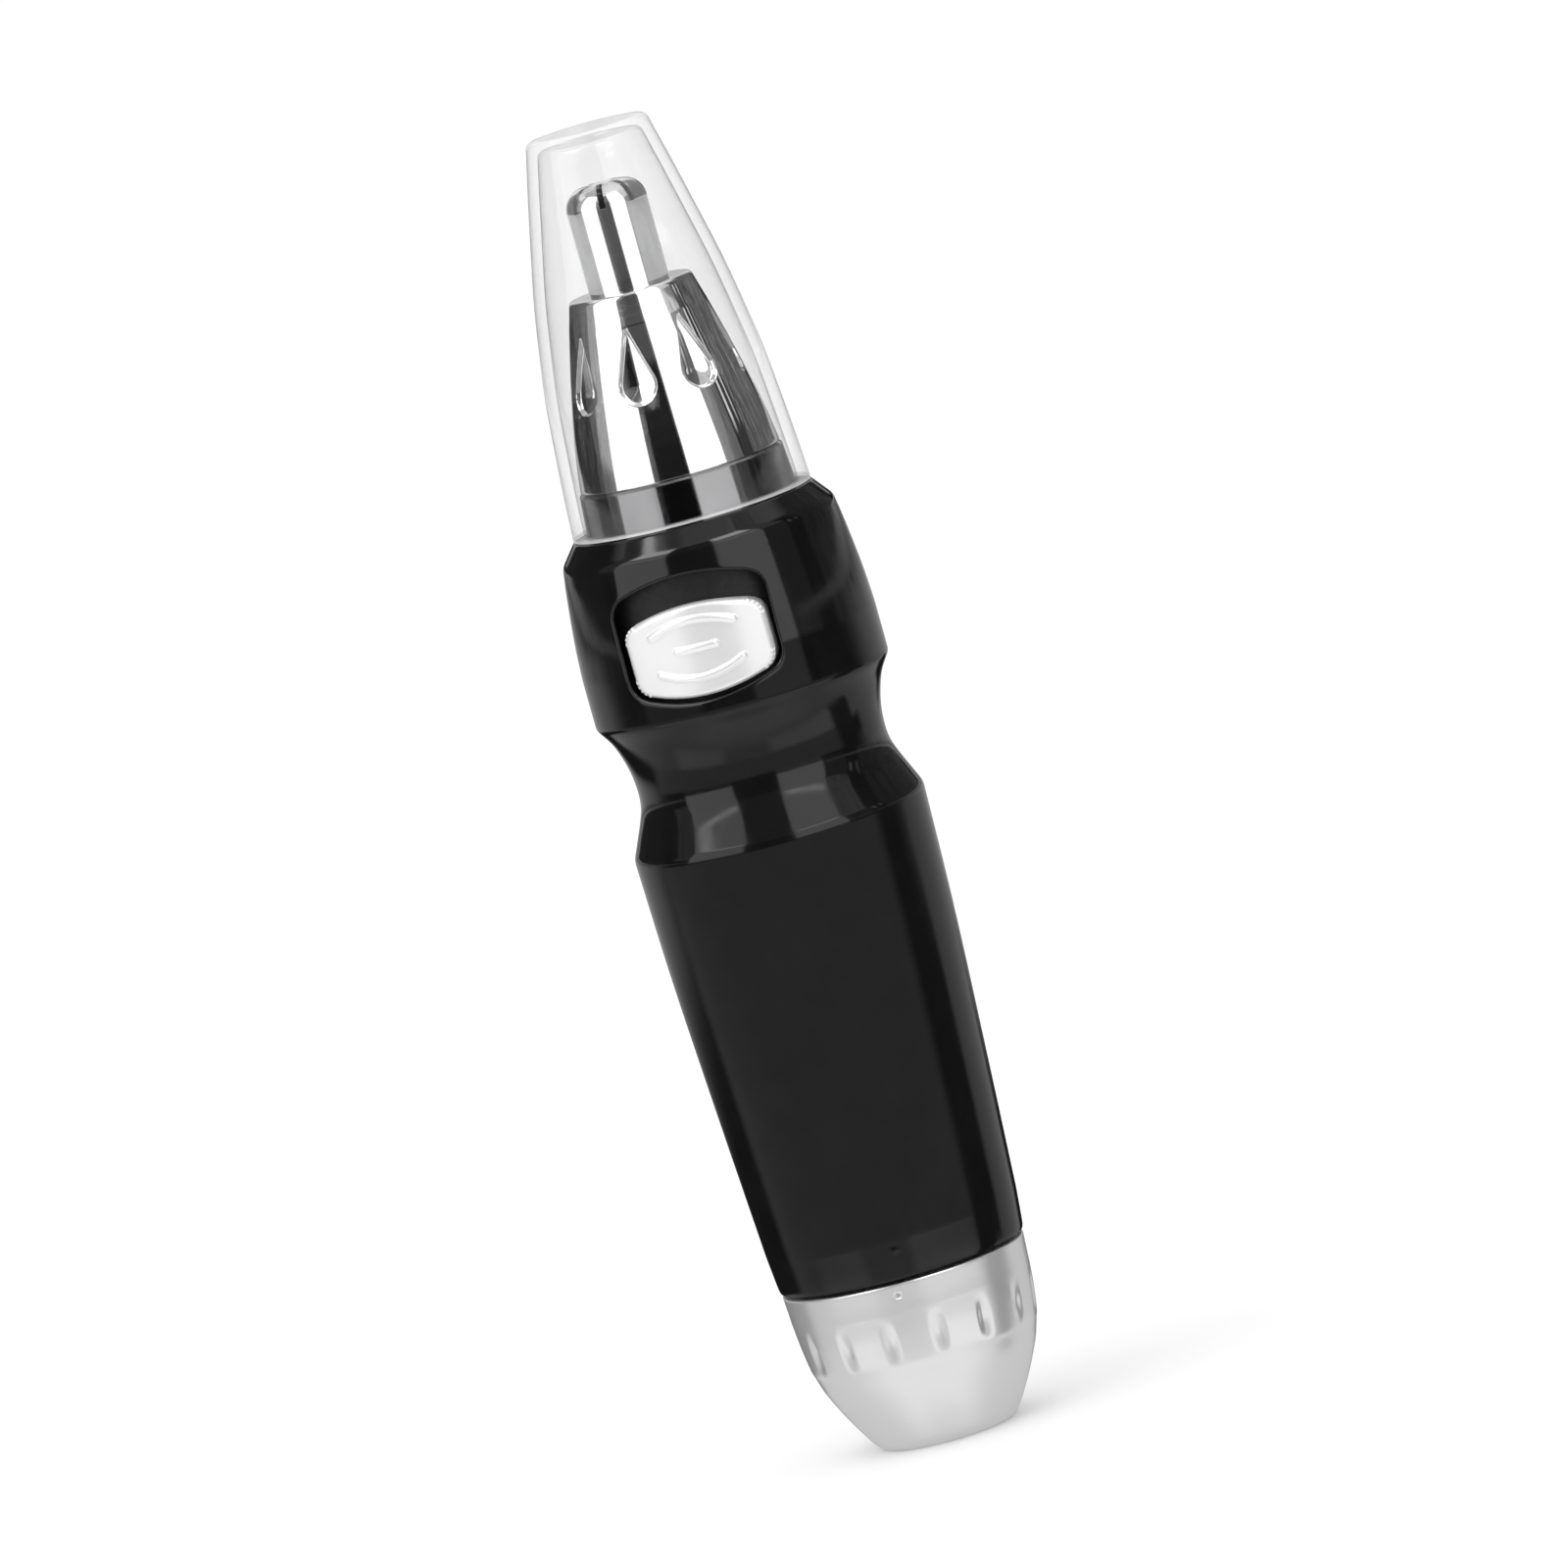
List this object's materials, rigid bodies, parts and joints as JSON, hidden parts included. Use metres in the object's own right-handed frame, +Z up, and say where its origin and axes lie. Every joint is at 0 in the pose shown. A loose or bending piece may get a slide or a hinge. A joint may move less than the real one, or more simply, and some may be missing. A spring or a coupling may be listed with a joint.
{
  "type": "nose hair trimmer",
  "caption": "Battery nose hair trimmer with a spinning blade in a slotted steel tube, a clear cap, a sliding switch and a twist-off battery cap.",
  "frame": {"origin": "centre of the flat under the battery cap", "axes": "+Z up the axis to the cutter, -Y out of the switch's face"},
  "size_m": [0.0308, 0.0308, 0.1391],
  "materials": {
    "clear_plastic": "clear polished styrene",
    "stainless": "polished stainless steel",
    "chrome_plate": "mirror chrome plating",
    "gloss_black": "glossy black ABS",
    "matte_black": "black moulded plastic",
    "satin_silver": "satin silver finish on ABS",
    "white_nylon": "natural nylon",
    "spring_steel": "bright steel wire",
    "core_iron": "stacked iron sheets",
    "copper": "enamelled copper",
    "motor_steel": "zinc plated steel can",
    "magnet": "ferrite",
    "brass": "phosphor bronze strip",
    "nickel": "nickel plated strip",
    "lead_red": "insulated wire",
    "cell_jacket": "printed film on a steel can"
  },
  "bodies": {
    "body": {"body_shell": "gloss_black", "head_collar": "gloss_black", "inner_frame": "matte_black", "switch_guide": "matte_black", "motor_can": "motor_steel", "motor_end_cap": "white_nylon", "motor_magnets": "magnet", "motor_brushes": "brass", "motor_terminals": "brass", "motor_screws": "spring_steel", "positive_contact": "nickel", "negative_strip": "nickel", "switch_strips": "brass", "lead_wires": "lead_red"},
    "rotor": {"motor_shaft": "spring_steel", "armature_core": "core_iron", "armature_windings": "copper", "commutator": "copper", "drive_coupler": "white_nylon"},
    "head_carrier": {"blade_washer": "white_nylon", "blade_spring": "spring_steel"},
    "head": {"head_cone": "chrome_plate", "cutter_tube": "stainless"},
    "blade": {"blade_spindle": "white_nylon", "cutter_blade": "stainless"},
    "clear_cap": {"clear_cap": "clear_plastic"},
    "switch": {"switch_button": "satin_silver", "switch_slider": "matte_black", "switch_contact": "brass"},
    "cell": {"battery_cell": "cell_jacket", "battery_terminal": "nickel"},
    "battery_cap": {"battery_cap": "satin_silver", "cap_neck": "matte_black", "cap_contact_plate": "nickel", "battery_spring": "spring_steel"}
  },
  "joints": [
    {"name": "rotor_spin", "type": "hinge", "parent": "body", "child": "rotor", "pos_m": [0, 0, 0.077], "axis": [0, 0, 1], "continuous": true},
    {"name": "head_lift", "type": "slide", "parent": "body", "child": "head_carrier", "axis": [0, 0, 1], "range_m": [0, 0.03]},
    {"name": "head_twist", "type": "hinge", "parent": "head_carrier", "child": "head", "pos_m": [0, 0, 0.1], "axis": [0, 0, 1], "range_deg": [0, 45]},
    {"name": "blade_spin", "type": "hinge", "parent": "head_carrier", "child": "blade", "pos_m": [0, 0, 0.1], "axis": [0, 0, 1], "continuous": true},
    {"name": "clear_cap_lift", "type": "slide", "parent": "head_carrier", "child": "clear_cap", "axis": [0, 0, 1], "range_m": [0, 0.045]},
    {"name": "switch_slide", "type": "slide", "parent": "body", "child": "switch", "axis": [0, 0, 1], "range_m": [0, 0.0026]},
    {"name": "battery_pull", "type": "slide", "parent": "body", "child": "cell", "axis": [0, 0, -1], "range_m": [0, 0.06]},
    {"name": "battery_cap_twist", "type": "hinge", "parent": "cell", "child": "battery_cap", "pos_m": [0, 0, 0.01], "axis": [0, 0, 1], "range_deg": [0, 40]}
  ],
  "couplings": [
    {"joint": "blade_spin", "follows": "rotor_spin", "ratio": 1}
  ]
}
